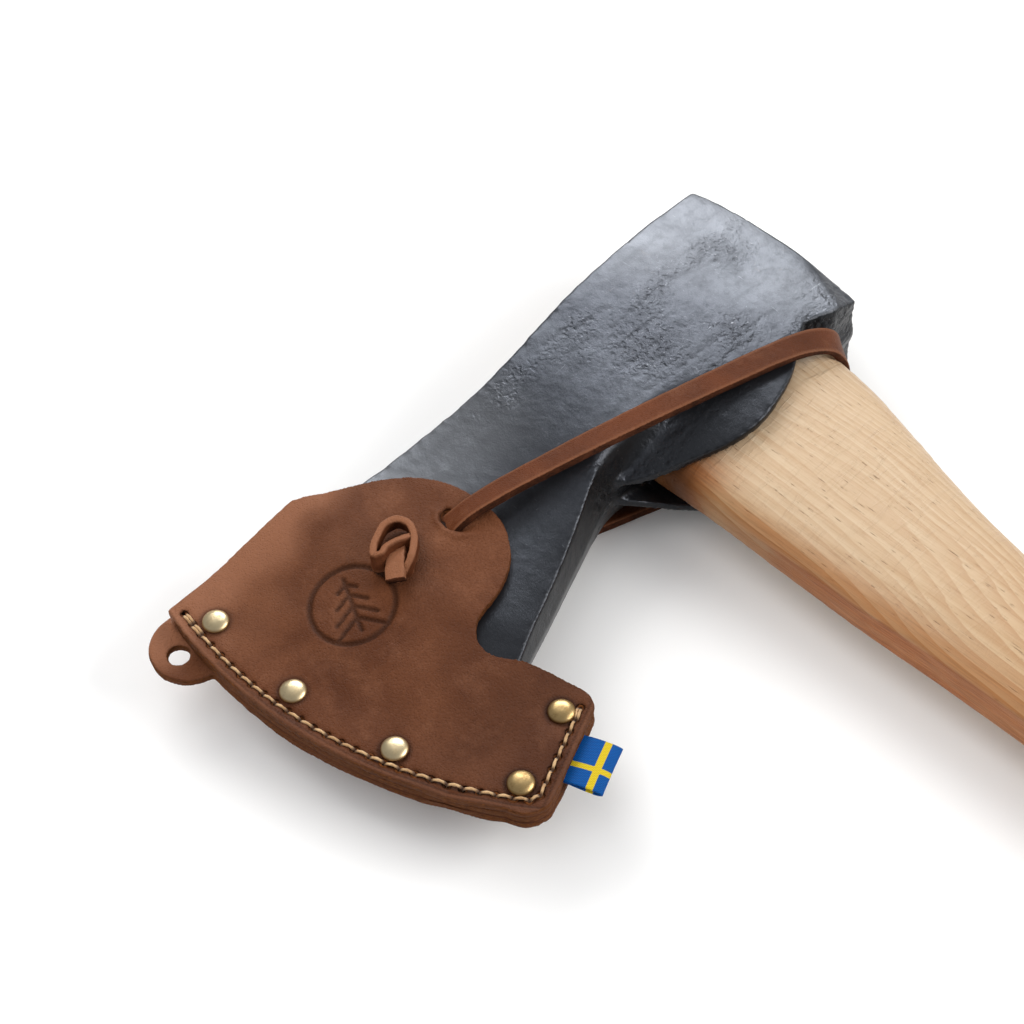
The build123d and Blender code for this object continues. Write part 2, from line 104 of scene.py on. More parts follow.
def lumps(points, size, seed):
    """Smooth noise, about -1 to 1, one lump per size in millimetres; each seed has its own pattern."""
    total = np.zeros(len(points))
    scaled = points / size + 17.3 * seed
    cell = np.floor(scaled).astype(np.int64)
    rest = scaled - cell
    ease = rest ** 3 * (rest * (rest * 6 - 15) + 10)
    for corner in product((0, 1), repeat=3):
        at = cell + corner
        # three large primes mix the cell's place into one number; its bits give the slope
        key = (at[:, 0] * 73856093) ^ (at[:, 1] * 19349663) ^ (at[:, 2] * 83492791) ^ (seed * 265443 + 977)
        slope = np.stack([((key >> shift) & 1023) / 511.5 - 1 for shift in (3, 11, 19)], 1)
        share = np.prod(np.where(corner, ease, 1 - ease), 1)
        total += share * ((rest - corner) * slope).sum(1)
    return total * 1.6


def link(name, mesh):
    piece = bpy.data.objects.new(name, mesh)
    bpy.context.scene.collection.objects.link(piece)
    return piece


def new_piece(name, points, faces):
    """A mesh from points in millimetres round the eye."""
    mesh = bpy.data.meshes.new(name)
    mesh.from_pydata([tuple(p) for p in np.asarray(points) * MM + EYE], [], faces)
    mesh.update()
    mesh.shade_smooth()
    return link(name, mesh)


def remeshed(node, name, voxel):
    """A CAD node's solid as an even skin of small squares, ready to be worked."""
    rough = link(name + "_rough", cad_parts[node].data.copy())
    skin = rough.modifiers.new("skin", "REMESH")
    skin.mode = "VOXEL"
    skin.voxel_size = voxel * MM
    graph = bpy.context.evaluated_depsgraph_get()
    mesh = bpy.data.meshes.new_from_object(rough.evaluated_get(graph))
    bpy.data.objects.remove(rough)
    mesh.materials.clear()
    mesh.shade_smooth()
    return link(name, mesh)


def middle_of(node):
    """The middle of a CAD node's box, in millimetres round the eye."""
    low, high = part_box(node)
    return (np.array((low + high) / 2) - EYE) / MM


def rows_of(items, name, width, kind=np.float32):
    """One property of all of a mesh's points or edges, a row for each."""
    flat = np.empty(len(items) * width, kind)
    items.foreach_get(name, flat)
    return flat.reshape(-1, width)


def points_of(piece):
    return (rows_of(piece.data.vertices, "co", 3).astype(float) - EYE) / MM


def set_points(piece, points):
    flat = (points * MM + EYE).astype(np.float32).ravel()
    piece.data.vertices.foreach_set("co", flat)
    piece.data.update()


def normals_of(piece):
    return rows_of(piece.data.vertex_normals, "vector", 3).astype(float)


def edges_of(piece):
    return rows_of(piece.data.edges, "vertices", 2, np.int32)


def relaxed(points, edges, steps, share=0.5):
    """Each point drawn towards the middle of its neighbours, which rounds off the edges."""
    size = len(points)
    count = np.maximum(np.bincount(edges.ravel(), minlength=size), 1)[:, None]
    for _ in range(steps):
        total = np.empty_like(points)
        for axis in range(3):
            total[:, axis] = (np.bincount(edges[:, 0], points[edges[:, 1], axis], size)
                              + np.bincount(edges[:, 1], points[edges[:, 0], axis], size))
        points = points + share * (total / count - points)
    return points


def curving(points, edges, normals):
    """How far each point stands out from its neighbours, in millimetres: high along outer corners."""
    return ((points - relaxed(points, edges, 1, 1.0)) * normals).sum(1)


def mark(piece, **marks):
    """A number at each point under each name, which the piece's material reads."""
    for name, values in marks.items():
        made = piece.data.attributes.new(name, "FLOAT", "POINT")
        made.data.foreach_set("value", values.astype(np.float32))


def to_segment(points, start, end):
    """Distance in plan from each point to the straight line between two places."""
    a, b = np.array(start, float), np.array(end, float)
    along = np.clip(((points[:, :2] - a) @ (b - a)) / ((b - a) @ (b - a)), 0, 1)
    return np.linalg.norm(points[:, :2] - a - along[:, None] * (b - a), axis=1)


def to_line(points, line):
    """Distance in plan from each point to a line of places."""
    return np.min([to_segment(points, a, b) for a, b in zip(line, line[1:])], axis=0)


def ring_faces(rings, around):
    """The squares between rings of points, each ring with the same number of points round it."""
    return [(i * around + j, i * around + (j + 1) % around,
             (i + 1) * around + (j + 1) % around, (i + 1) * around + j)
            for i in range(rings - 1) for j in range(around)]


def directions(path):
    """The way ahead at each point of a path, of length 1."""
    ahead = np.gradient(path, axis=0)
    return ahead / np.linalg.norm(ahead, axis=1)[:, None]


def sweep(name, path, sides, profile):
    """A skin from one profile carried along a path; sides holds the width's direction at each point of it."""
    path, sides = np.asarray(path, float), np.asarray(sides, float)
    ahead = directions(path)
    sides = sides - (sides * ahead).sum(1)[:, None] * ahead
    sides /= np.linalg.norm(sides, axis=1)[:, None]
    ups = np.cross(ahead, sides)
    profiles = profile if callable(profile) else lambda share: profile
    rows = [path[i] + np.outer([p[0] for p in ring], sides[i]) + np.outer([p[1] for p in ring], ups[i])
            for i, ring in enumerate(profiles(i / (len(path) - 1)) for i in range(len(path)))]
    size = len(rows[0])
    faces = ring_faces(len(rows), size)
    faces += [tuple(reversed(range(size))), tuple(range((len(rows) - 1) * size, len(rows) * size))]
    return new_piece(name, np.concatenate(rows), faces)


def curve_through(points, count):
    """Evenly spaced places on a smooth line through the given points, in any number of dimensions."""
    points = np.asarray(points, float)
    knots = np.concatenate([[0], np.cumsum(np.linalg.norm(np.diff(points[:, :3], axis=0), axis=1))])
    slopes = np.gradient(points, knots, axis=0)
    at = np.linspace(0, knots[-1], count)
    i = np.clip(np.searchsorted(knots, at, "right") - 1, 0, len(knots) - 2)
    step = (knots[i + 1] - knots[i])[:, None]
    t = (at - knots[i])[:, None] / step
    return ((2 * t ** 3 - 3 * t ** 2 + 1) * points[i] + (t ** 3 - 2 * t ** 2 + t) * step * slopes[i]
            + (3 * t ** 2 - 2 * t ** 3) * points[i + 1] + (t ** 3 - t ** 2) * step * slopes[i + 1])


# ---- Materials ----

class Paint:
    """A Principled material with its nodes made one call at a time. Textures are in millimetres."""

    def __init__(self, name, **sockets):
        self.material = bpy.data.materials.new(name)
        self.material.use_nodes = True
        self.tree = self.material.node_tree
        self.shader = self.tree.nodes["Principled BSDF"]
        for socket, value in sockets.items():
            self.shader.inputs[socket.replace("_", " ")].default_value = value
        place = self.tree.nodes.new("ShaderNodeTexCoord").outputs["Object"]
        eye = self.node("ShaderNodeVectorMath", {0: place, 1: tuple(EYE)}, operation="SUBTRACT")
        self.place = self.node("ShaderNodeVectorMath", {0: eye, "Scale": 1 / MM}, operation="SCALE")

    def node(self, kind, inputs, out=0, **settings):
        made = self.tree.nodes.new(kind)
        for key, value in settings.items():
            setattr(made, key, value)
        for key, value in inputs.items():
            if isinstance(value, bpy.types.NodeSocket):
                self.tree.links.new(value, made.inputs[key])
            else:
                made.inputs[key].default_value = value
        return made.outputs[out]

    def stretched(self, x, y, z):
        """The place in millimetres times a factor for each axis: below 1, a texture is drawn out along it."""
        return self.node("ShaderNodeVectorMath", {0: self.place, 1: (x, y, z)}, operation="MULTIPLY")

    def noise(self, size, detail=4.0, rough=0.5, where=None, twist=0.0):
        """Cloudy noise from 0 to 1, one cloud per size."""
        inputs = {"Vector": where or self.place, "Scale": 1 / size, "Detail": detail, "Roughness": rough,
                  "Distortion": twist}
        return self.node("ShaderNodeTexNoise", inputs)

    def swirled(self, size, reach):
        """The place in millimetres, pushed about by up to the reach in swirls of the given size."""
        wander = self.node("ShaderNodeTexNoise", {"Vector": self.place, "Scale": 1 / size}, "Color")
        shift = self.node("ShaderNodeVectorMath", {0: wander, "Scale": reach}, operation="SCALE")
        return self.node("ShaderNodeVectorMath", {0: self.place, 1: shift}, operation="ADD")

    def cells(self, size, where, soft=None):
        """Distance to the nearest of scattered middles, one cell per size; soft rounds the cells' edges."""
        inputs = {"Vector": where, "Scale": 1 / size}
        if soft is None:
            return self.node("ShaderNodeTexVoronoi", inputs, "Distance", feature="F1")
        inputs["Smoothness"] = soft
        return self.node("ShaderNodeTexVoronoi", inputs, "Distance", feature="SMOOTH_F1")

    def math(self, operation, a, b=0.0):
        return self.node("ShaderNodeMath", {0: a, 1: b}, operation=operation)

    def span(self, value, low, high, to_low=0.0, to_high=1.0):
        """The value's part between low and high, carried over to another range."""
        inputs = {"Value": value, "From Min": low, "From Max": high, "To Min": to_low, "To Max": to_high}
        return self.node("ShaderNodeMapRange", inputs, clamp=True)

    def read(self, name):
        """What mark() left on the piece under this name."""
        return self.node("ShaderNodeAttribute", {}, "Fac", attribute_name=name)

    def mix(self, share, a, b):
        """Colour a, giving way to colour b as the share goes from 0 to 1."""
        inputs = {0: share, 6: a if isinstance(a, bpy.types.NodeSocket) else (*a, 1.0),
                  7: b if isinstance(b, bpy.types.NodeSocket) else (*b, 1.0)}
        return self.node("ShaderNodeMix", inputs, 2, data_type="RGBA")

    def bump(self, height, depth, below=None):
        """A bump whose full height is depth millimetres, on top of the one below."""
        inputs = {"Height": height, "Distance": depth * MM, "Strength": 1.0}
        if below is not None:
            inputs["Normal"] = below
        return self.node("ShaderNodeBump", inputs)

    def wear(self, **sockets):
        """Joins colour, roughness and bump to the shader and gives the material."""
        for socket, value in sockets.items():
            self.tree.links.new(value, self.shader.inputs[socket.replace("_", " ")])
        return self.material


def leather_paint(name, dark, mid, light, raw, grain=1.0):
    """Waxed leather: cloudy pull-up colour, pebbled grain, raw fibrous edges where 'cut' is 1."""
    p = Paint(name, Specular_IOR_Level=0.17)
    clouds = p.noise(26, 5, 0.55, twist=0.4)
    colour = p.mix(p.span(clouds, 0.36, 0.66), dark, mid)
    patches = p.noise(9, 6, 0.62, twist=0.3)
    colour = p.mix(p.span(patches, 0.52, 0.80, 0.0, 0.36), colour, light)
    speckle = p.noise(0.55, 4, 0.65)
    colour = p.mix(p.span(speckle, 0.38, 0.66, 0.0, 0.50), colour, dark)
    # lightened where worn on the rims and over the lace, and painted light by the sheath's fold
    colour = p.mix(p.read("worn"), colour, light)
    # darkened marks, among them painted shade in the holes and the slit and towards the sheath's heel
    colour = p.mix(p.read("dark"), colour, tuple(0.16 * c for c in dark))
    fibres = p.noise(0.55, 7, 0.7, p.stretched(0.45, 0.45, 2.6), 0.6)
    edge = p.mix(p.span(fibres, 0.36, 0.64), tuple(0.20 * c for c in raw), raw)
    edge = p.mix(p.span(p.noise(4.5, 3), 0.40, 0.72, 0.0, 0.6), edge, mid)
    cut = p.span(p.math("ADD", p.read("cut"), p.span(speckle, 0.3, 0.7, -0.2, 0.2)), 0.35, 0.65)
    colour = p.mix(cut, colour, edge)
    pebble = p.cells(0.62 * grain, p.swirled(0.625, 0.55), soft=0.35)
    skin = p.bump(p.span(pebble, 0.0, 0.55), 0.15 * grain)
    skin = p.bump(p.noise(0.22, 3, 0.6), 0.05, skin)
    skin = p.bump(p.noise(2.6, 5, 0.6, twist=1.2), 0.16, skin)
    tangle = p.bump(fibres, 0.60)
    normal = p.node("ShaderNodeMix", {0: cut, 4: skin, 5: tangle}, 1, data_type="VECTOR")
    rough = p.span(p.math("ADD", clouds, p.math("MULTIPLY", speckle, 0.6)), 0.5, 1.15, 0.48, 0.70)
    rough = p.node("ShaderNodeMix", {0: cut, 2: rough, 3: 0.85}, 0, data_type="FLOAT")
    return p.wear(Base_Color=colour, Roughness=rough, Normal=normal)


def steel_paint():
    """Dark forge scale: satin blue-grey, scuffed, pitted and chipped in patches."""
    p = Paint("forged_scale", Metallic=0.85, Specular_IOR_Level=0.5)
    cloud = p.noise(24, 5, 0.55, twist=0.5)
    mottle = p.noise(2.2, 6, 0.66)
    pits = p.read("pits")
    colour = p.mix(p.span(cloud, 0.34, 0.68), (0.064, 0.068, 0.080), (0.088, 0.094, 0.108))
    colour = p.mix(p.span(mottle, 0.46, 0.70, 0.0, 0.40), colour, (0.038, 0.041, 0.048))
    flecks = p.span(p.noise(0.8, 5, 0.72), 0.60, 0.69)
    share = p.math("MULTIPLY", flecks, p.span(pits, 0, 1, 0.10, 0.55))
    colour = p.mix(share, colour, (0.42, 0.43, 0.46))
    rust = p.span(p.noise(5.5, 6, 0.7, twist=1.5), 0.64, 0.74, 0.0, 0.30)
    colour = p.mix(rust, colour, (0.120, 0.090, 0.072))
    # rubbed corners, and painted highlight on the poll and on the blade beside the sheath
    colour = p.mix(p.read("rubbed"), colour, (0.34, 0.35, 0.37))
    # painted shade on the beard's flank and the lug
    colour = p.mix(p.read("dark"), colour, (0.022, 0.023, 0.026))
    scratch = p.noise(0.75, 4, 0.55, p.stretched(0.10, 0.9, 0.4), 0.5)
    other = p.noise(0.9, 4, 0.55, p.stretched(0.9, 0.12, 0.4), 0.8)
    scuffs = p.math("MAXIMUM", p.span(scratch, 0.70, 0.76), p.span(other, 0.71, 0.77))
    colour = p.mix(p.math("MULTIPLY", scuffs, 0.35), colour, (0.42, 0.44, 0.47))
    flakes = p.math("MULTIPLY", p.span(p.cells(1.7, p.swirled(2.0, 2.4), soft=0.6), 0.10, 0.48), pits)
    normal = p.bump(flakes, 0.16)
    normal = p.bump(p.math("MULTIPLY", p.noise(1.3, 5, 0.66), p.span(pits, 0, 1, 0.22, 1.0)), 0.22, normal)
    normal = p.bump(p.noise(7.0, 4, 0.5, twist=0.6), 0.15, normal)
    normal = p.bump(p.noise(0.60, 5, 0.7), 0.060, normal)
    rough = p.span(p.math("ADD", p.noise(8, 5, 0.6), p.math("MULTIPLY", mottle, 0.6)), 0.55, 1.05, 0.31, 0.42)
    return p.wear(Base_Color=colour, Roughness=rough, Normal=normal)


def wood_paint(name):
    """Hickory: straight growth rings down the haft, pale at the head, oiled honey beyond, with open pores, an
    oil stain by the head, and painted shade on the front side, the planed facet and under the lug.
    """
    p = Paint(name, Specular_IOR_Level=0.40)
    slow = p.stretched(0.006, 0.02, 0.02)
    waver = p.node("ShaderNodeTexNoise", {"Vector": slow, "Scale": 1.0, "Detail": 2.0}, "Color")
    drift = p.node("ShaderNodeVectorMath", {0: waver, "Scale": 16.0}, operation="SCALE")
    grown = p.node("ShaderNodeVectorMath", {0: p.stretched(0.045, 1, 1), 1: drift}, operation="ADD")
    parts = p.tree.nodes.new("ShaderNodeSeparateXYZ")
    p.tree.links.new(grown, parts.inputs[0])
    ring = p.math("MULTIPLY", parts.outputs["Y"], 0.40)
    ring = p.math("ADD", ring, p.math("MULTIPLY", parts.outputs["Z"], 0.13))
    ring = p.math("ADD", ring, parts.outputs["X"])
    ring = p.math("ADD", ring, p.math("MULTIPLY", p.noise(6.0, 3, 0.5, p.stretched(0.03, 1, 1)), 1.1))
    band = p.math("FRACT", ring)
    late = p.math("MULTIPLY", p.span(band, 0.10, 0.94), p.span(band, 1.0, 0.96))
    fibre = p.noise(0.50, 6, 0.74, p.stretched(0.030, 1, 1))
    streak = p.noise(2.4, 5, 0.62, p.stretched(0.022, 1, 1))
    pale, honey = (0.560, 0.395, 0.235), (0.500, 0.300, 0.135)
    colour = p.mix(p.span(p.noise(40, 4, 0.5, p.stretched(0.3, 1, 1)), 0.38, 0.66), pale, honey)
    colour = p.mix(p.read("pale"), colour, (0.605, 0.455, 0.300))
    share = p.math("MULTIPLY", late, p.span(p.read("pale"), 0, 1, 0.75, 0.24))
    colour = p.mix(share, colour, (0.350, 0.150, 0.050))
    colour = p.mix(p.span(streak, 0.45, 0.75, 0.0, 0.40), colour, (0.400, 0.215, 0.088))
    colour = p.mix(p.span(fibre, 0.50, 0.76, 0.0, 0.42), colour, (0.300, 0.140, 0.050))
    pores = p.cells(0.60, p.stretched(0.050, 1, 1))
    pore = p.math("MULTIPLY", p.span(pores, 0.22, 0.10), p.span(p.noise(2.2, 3), 0.46, 0.60))
    colour = p.mix(p.math("MULTIPLY", pore, 0.62), colour, (0.150, 0.065, 0.022))
    uneven = p.span(p.noise(5, 5, 0.6, p.stretched(0.12, 1, 1)), 0.3, 0.6, 0.72, 1.0)
    # the oil stain by the head, and painted shade on the front side and the planed facet
    oil = p.math("MULTIPLY", p.read("oiled"), uneven)
    stain_and_shade_colour = p.mix(p.span(fibre, 0.40, 0.72), (0.420, 0.130, 0.022), (0.175, 0.042, 0.006))
    colour = p.mix(oil, colour, stain_and_shade_colour)
    # painted shade in the gap under the lug and along the facet's edge
    colour = p.mix(p.read("grime"), colour, (0.085, 0.030, 0.010))
    rings = p.math("SINE", p.math("MULTIPLY", ring, tau))
    grain_end = p.mix(p.span(rings, 0.2, 0.95, 0.0, 0.6), (0.40, 0.24, 0.12), (0.20, 0.10, 0.045))
    colour = p.mix(p.read("end"), colour, grain_end)
    normal = p.bump(fibre, 0.11)
    normal = p.bump(p.math("SUBTRACT", 1.0, pore), 0.10, normal)
    chatter = p.noise(2.1, 3, 0.6, p.stretched(1.0, 0.16, 0.16), 0.7)
    marks = p.math("MULTIPLY", p.span(chatter, 0.50, 0.70), p.span(p.read("pale"), 0, 1, 0.10, 1.0))
    normal = p.bump(marks, 0.16, normal)
    rough = p.span(fibre, 0.3, 0.8, 0.44, 0.60)
    return p.wear(Base_Color=colour, Roughness=rough, Normal=normal)


def brass_paint(name, base, tarnish, share):
    """Brass caps, rubbed bright in the middle and browned round the rim."""
    p = Paint(name, Metallic=1.0)
    cloud = p.noise(1.6, 5, 0.6)
    brown = p.math("MAXIMUM", p.span(cloud, 0.48, 0.75, 0.0, share), p.math("MULTIPLY", p.read("dark"), 0.85))
    colour = p.mix(brown, base, tarnish)
    normal = p.bump(p.noise(1.8, 2, 0.4), 0.035)
    rough = p.span(p.math("ADD", cloud, p.math("MULTIPLY", brown, 0.5)), 0.3, 1.0, 0.30, 0.50)
    return p.wear(Base_Color=colour, Roughness=rough, Normal=normal)


def thread_paint():
    """Cream waxed linen, dirty in places, with painted shade where it goes down into the holes."""
    p = Paint("waxed_linen", Specular_IOR_Level=0.45, Sheen_Weight=0.2, Roughness=0.6)
    dirt = p.span(p.noise(3.0, 4, 0.6), 0.40, 0.70)
    colour = p.mix(dirt, (0.62, 0.40, 0.20), (0.36, 0.19, 0.075))
    # painted shade where the thread goes into the holes
    colour = p.mix(p.read("dark"), colour, (0.10, 0.045, 0.02))
    return p.wear(Base_Color=colour, Normal=p.bump(p.noise(0.14, 3, 0.7), 0.05))


def ribbon_paint():
    """Woven ribbon: blue, with a yellow stripe along and one across, from the marks on its mesh."""
    p = Paint("woven_ribbon", Specular_IOR_Level=0.15, Roughness=0.6)
    rib = p.node("ShaderNodeMath", {0: p.math("MULTIPLY", p.read("across"), 62 * pi)}, operation="SINE")
    pick = p.node("ShaderNodeMath", {0: p.math("MULTIPLY", p.read("along"), 46 * pi)}, operation="SINE")
    weave = p.math("MULTIPLY", rib, pick)
    blue = p.mix(p.span(weave, -0.6, 0.8), (0.001, 0.045, 0.190), (0.002, 0.105, 0.400))
    yellow = p.mix(p.span(weave, -0.6, 0.8), (0.480, 0.330, 0.008), (0.780, 0.600, 0.025))
    stripe = p.span(p.read("stripe"), 0.35, 0.65)
    return p.wear(Base_Color=p.mix(stripe, blue, yellow), Normal=p.bump(p.span(weave, -1, 1), 0.07))


def plain_steel_paint():
    """Drawn steel with a little rust."""
    p = Paint("drawn_steel", Metallic=0.95)
    colour = p.mix(p.span(p.noise(2.4, 5, 0.6), 0.4, 0.7), (0.40, 0.40, 0.41), (0.20, 0.17, 0.15))
    return p.wear(Base_Color=colour, Roughness=p.span(p.noise(1.0, 4), 0.3, 0.7, 0.28, 0.5),
                  Normal=p.bump(p.noise(0.5, 4, 0.6), 0.03))


def finish_piece(piece, body, slot, material, *nodes):
    """Gives a piece its material, its body and the CAD nodes that it stands for, which it hides. The slot is
    not used.
    """
    piece.data.materials.clear()
    piece.data.materials.append(material)
    if nodes:
        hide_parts(*nodes)
    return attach(piece, body)


# ---- Axe ----

def eye_wall(points, normals):
    """Which of the head's points lie on the wall of its eye, where the haft covers them."""
    _, y, z = points.T
    facing_in = (y + EYE_SHIFT) * normals[:, 1] + z * normals[:, 2] < 0
    near_axis = (np.abs(y + EYE_SHIFT) < EYE_HALF_Y) & (np.abs(z) < EYE_HALF_Z)
    return near_axis & facing_in & (np.abs(normals[:, 0]) < 0.8)


def make_head(material):
    """The forging: its CAD shape with soft forged edges, shallow dents and pitted patches."""
    head = remeshed("axe_head", "head_forging", 0.75)
    points, edges = points_of(head), edges_of(head)
    points = relaxed(points, edges, 2)
    set_points(head, points)
    broad = smooth(np.abs(normals_of(head)[:, 2]), 0.86, 0.97)[:, None]
    points = relaxed(points, edges, 40, 0.5 * broad)
    x, y, z = points.T
    ear = smooth(to_line(points, LUG_RIM), 0.9, 3.0) * smooth(x, 6, 13)
    ear = ear * smooth(y, 2, -12) * smooth(y, -52, -44)
    points = relaxed(points, edges, 90, 0.5 * (ear * smooth(np.abs(z), 6.5, 8.5))[:, None])
    set_points(head, points)
    normals = normals_of(head)
    x, y, z = points.T
    outside_eye = np.where(eye_wall(points, normals), 0.0, 1.0)
    free = smooth(y, -112, -72) * outside_eye
    dents = 0.26 * lumps(points, 24, 1) + 0.08 * lumps(points, 9, 2) + 0.05 * lumps(points, 3, 3)
    patches = 0.8 * smooth(lumps(points, 22, 5) + 0.35 * lumps(points, 8, 6), 0.10, 0.70)
    spots = [(-4, -10, 12), (8, 10, 8), (16, -6, 7), (20, 40, 8), (-14, 32, 7)]
    for spot_x, spot_y, size in spots:
        patches = np.maximum(patches, bell(np.hypot(x - spot_x, y - spot_y), size))
    patches *= outside_eye * smooth(y, -70, -45)
    chips = -0.34 * smooth(lumps(points, 2.2, 8) + 0.5 * lumps(points, 1.2, 9), 0.30, 0.65) * patches
    points = points + normals * (free * (dents - 0.12) + chips)[:, None]
    points[:, 0] += 2.0 * smooth(np.abs(z), 4, 15) * smooth(x, 10, 20) * smooth(y, 8, 34)
    set_points(head, points)
    corners = smooth(curving(points, edges, normals), 0.035, 0.11) * outside_eye
    corners *= (0.12 + 0.30 * smooth(y, 20, 34)) * smooth(lumps(points, 4, 11), 0.0, 0.6)
    # painted highlight: the blade beside the sheath and the poll are lightened where the lamps' reflection
    # would fall
    blade_painted_highlight = 0.50 * smooth(-x, -4, 26) * smooth(-y, 36, 66)
    poll_painted_highlight = 0.26 * smooth(y - 0.6 * x, 2, 44) * smooth(lumps(points, 30, 12), -0.9, 0.3)
    # so the 'rubbed' mark holds the rubbed corners and the painted highlight on the blade and the poll
    mark(head, rubbed=np.maximum(corners, np.maximum(blade_painted_highlight, poll_painted_highlight)))
    normals = normals_of(head)
    # painted shade: the beard's flank, which faces away from the lamps, and the whole lug are darkened
    flank = smooth(normals[:, 0] - normals[:, 2], -0.60, 0.05) * smooth(x, -5, 10)
    lug = 0.6 * smooth(x, 10, 26) * smooth(y, 26, 10)
    mark(head, dark=np.maximum(flank, lug) * outside_eye, pits=np.clip(patches, 0, 1))
    return finish_piece(head, "axe", "forged_steel", material, "axe_head")


def make_haft(material):
    """The hickory handle, planed flat in front below the head, with rasp marks, an oil-dark front corner, and
    painted shade on the front side, the planed facet and the gap under the lug.
    """
    haft = remeshed("haft", "haft_hickory", 1.0)
    points, edges = points_of(haft), edges_of(haft)
    points = relaxed(points, edges, 3)
    x, y, z = points.T
    planed = np.interp(x, FRONT_X, FRONT_Y)
    planed += np.interp(x, PLANED_X, PLANED_DEEP) * (1 - 0.18 * (z / 6.5) ** 2)
    facet = smooth(planed - y, -0.10, 0.12) * smooth(x, 48, 64) * smooth(x, 420, 340)
    points = np.stack([x, np.maximum(y, planed), z], 1)
    set_points(haft, points)
    normals = normals_of(haft)
    outside = smooth(x, 22, 30)
    strokes = 0.07 * lumps(points * (0.18, 1, 1), 3.2, 21) + 0.12 * lumps(points * (0.3, 1, 1), 14, 22)
    chatter = 0.10 * lumps(points * (1, 0.25, 0.25), 2.6, 23) * smooth(x, 130, 60)
    points = points + normals * (outside * (strokes + chatter) * (1 - 0.6 * facet))[:, None]
    set_points(haft, points)
    end = np.abs(normals[:, 0]) > 0.8
    front_side = smooth(-normals[:, 1], 0.35, 0.80)
    # an oil stain by the head's front corner; the darkening of the planed facet, of the side facing the front
    # and of a band above the facet is painted shade
    oiled = np.maximum(facet, 0.55 * front_side * smooth(x, 20, 60))
    oiled = np.maximum(oiled, bell(np.hypot(x - 26, (y + 31) * 0.9), 12) * smooth(-y, 8, 27))
    oiled = np.maximum(oiled, 0.50 * bell(y - planed - 1.0, 5.0) * smooth(x, 35, 90))
    # painted shade: near black in the gap between the lug and the haft's front corner, and a thin dark line
    # along the planed facet's edge
    grime = 0.95 * bell(np.hypot(x - 25, y + 33), 8.0) + 0.25 * bell(y - planed - 0.2, 0.9) * facet
    # pale near the head; keeping the front side less pale is painted shade
    pale = smooth(x, 200, 66) * (1 - 0.85 * front_side)
    mark(haft, pale=pale, oiled=np.clip(oiled, 0, 1), grime=grime, end=end.astype(float))
    return finish_piece(haft, "axe", "haft_wood", material, "haft")


def dress_wedges(wood, steel):
    """The wooden wedge and the steel ring keep their CAD shapes, with broken edges."""
    for node, material in (("wood_wedge", wood), ("steel_ring_wedge", steel)):
        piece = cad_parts[node]
        piece.data.materials.clear()
        piece.data.materials.append(material)
        broken = piece.modifiers.new("broken_edge", "BEVEL")
        broken.width = 0.3 * MM
        broken.segments = 2
        broken.limit_method = "ANGLE"


# ---- Sheath ----

def polar(radius, angle):
    """A place on a circle round the cutting edge's centre, at an angle from straight ahead."""
    return (EDGE_CENTRE[0] + radius * sin(angle), EDGE_CENTRE[1] - radius * cos(angle))


def heel_line(share, inset):
    """A place along the heel seam's edge, from its top to its foot, so far inside the leather."""
    dx, dy = HEEL_RUN
    set_in = inset / hypot(dx, dy)
    return (HEEL_TOP[0] + share * dx + set_in * dy, HEEL_TOP[1] + share * dy - set_in * dx)


def stitch_holes():
    """Every hole of the seam, from the toe to the top of the heel."""
    start, end = (np.arcsin((x - EDGE_CENTRE[0]) / STITCH_R) for x in (STITCH_TOE_X, STITCH_HEEL_X))
    seam = [polar(STITCH_R, a) for a in np.linspace(start, end, STITCHES_ON_SEAM + 1)]
    low, high = HEEL_STITCH_ENDS
    return seam + [heel_line(1 - s, HEEL_INSET) for s in np.linspace(low, high, STITCHES_ON_HEEL + 1)]


HOLES = stitch_holes()


def from_edge(points):
    """How far inside the sewn edge each point lies, in plan, along the seam and up the heel."""
    x, y = points[:, 0], points[:, 1]
    seam = SEAM_R - np.hypot(x - EDGE_CENTRE[0], y - EDGE_CENTRE[1])
    dx, dy = HEEL_RUN
    heel = ((HEEL_TOP[0] - x) * -dy + (HEEL_TOP[1] - y) * dx) / hypot(dx, dy)
    return np.minimum(seam, np.where(x > 30, heel, 99))


def stamp_depth(points):
    """A plain ring with a small spruce in it, 1 at the bottom of the pressed lines."""
    up = np.array(STAMP_UP) / hypot(*STAMP_UP)
    right = np.array([up[1], -up[0]])
    local = (points[:, :2] - STAMP) @ np.stack([right, up], 1)
    ring = np.abs(np.hypot(local[:, 0], local[:, 1]) - STAMP_R)
    lines = [((0, -8.0), (0, 8.2))]
    for level, reach in ((6.6, 2.6), (3.2, 4.2), (-0.4, 5.6), (-4.0, 6.6)):
        lines += [((0, level), (side * reach, level - reach * 0.72)) for side in (-1, 1)]
    tree = np.min([to_segment(local, a, b) for a, b in lines], axis=0)
    return np.maximum(smooth(ring, 0.95, 0.45), smooth(tree, 0.80, 0.35))


def eased_ramp(points):
    """Rounds the leather's two bends where it comes down from the blade's heel to the flat seam."""
    x, y, z = points.T
    over = LEATHER + PLAY
    side = np.interp(-y, np.negative(CHEEK_Y), CHEEK_HALF) + over
    reach = np.hypot(x - EDGE_CENTRE[0], y - EDGE_CENTRE[1])
    bevel = np.interp(reach, BEVEL_REACH, BEVEL_HALF) + over
    ramp = SEAM_HALF + HEEL_RISE * (WELT_X - x)
    above = np.maximum(np.minimum(side, bevel), SEAM_HALF)
    crest = np.clip(1 - np.abs(above - ramp) / 6.0, 0, 1) ** 2 * -1.5
    valley = np.clip(1 - np.abs(SEAM_HALF - np.minimum(above, ramp)) / 1.8, 0, 1) ** 2
    valley *= 0.45 * smooth(x, 38, 46)
    change = (crest + valley * (ramp < above)) * smooth(np.abs(z), 1.4, 2.0) * smooth(x, 20, 30)
    return np.stack([x, y, z + np.sign(z) * change], 1)


